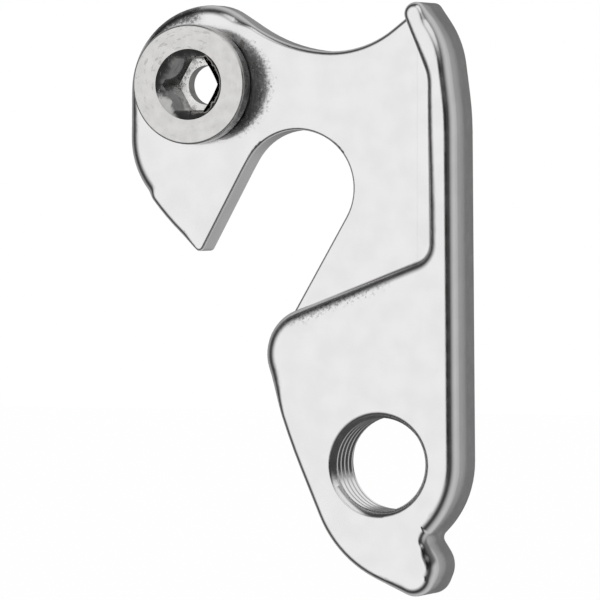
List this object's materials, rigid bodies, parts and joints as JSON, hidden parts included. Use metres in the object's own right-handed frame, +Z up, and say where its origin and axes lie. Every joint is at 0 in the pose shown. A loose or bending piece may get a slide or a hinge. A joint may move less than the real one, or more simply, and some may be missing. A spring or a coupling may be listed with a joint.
{
  "type": "bicycle derailleur hanger",
  "caption": "Forged bicycle derailleur hanger with an open axle slot, a threaded hole for the rear derailleur, and a hollow bolt with a hexagon socket that fixes it to the frame.",
  "frame": {"origin": "on the axis of the derailleur's thread, in the plane of the recessed face that the bicycle frame seats against", "axes": "+Y along the derailleur's thread, from the wheel side to the outer side; +Z up along the hanger, from the derailleur to the bolt; +X across the hanger, towards its straight upright side"},
  "size_m": [0.0347, 0.0074, 0.0566],
  "materials": {
    "plate": "bright satin, tumbled after forging",
    "bolt": "dull bright plating over turned and cold-headed steel"
  },
  "bodies": {
    "root": {"hanger_plate": "plate", "fixing_bolt": "bolt"}
  },
  "joints": []
}
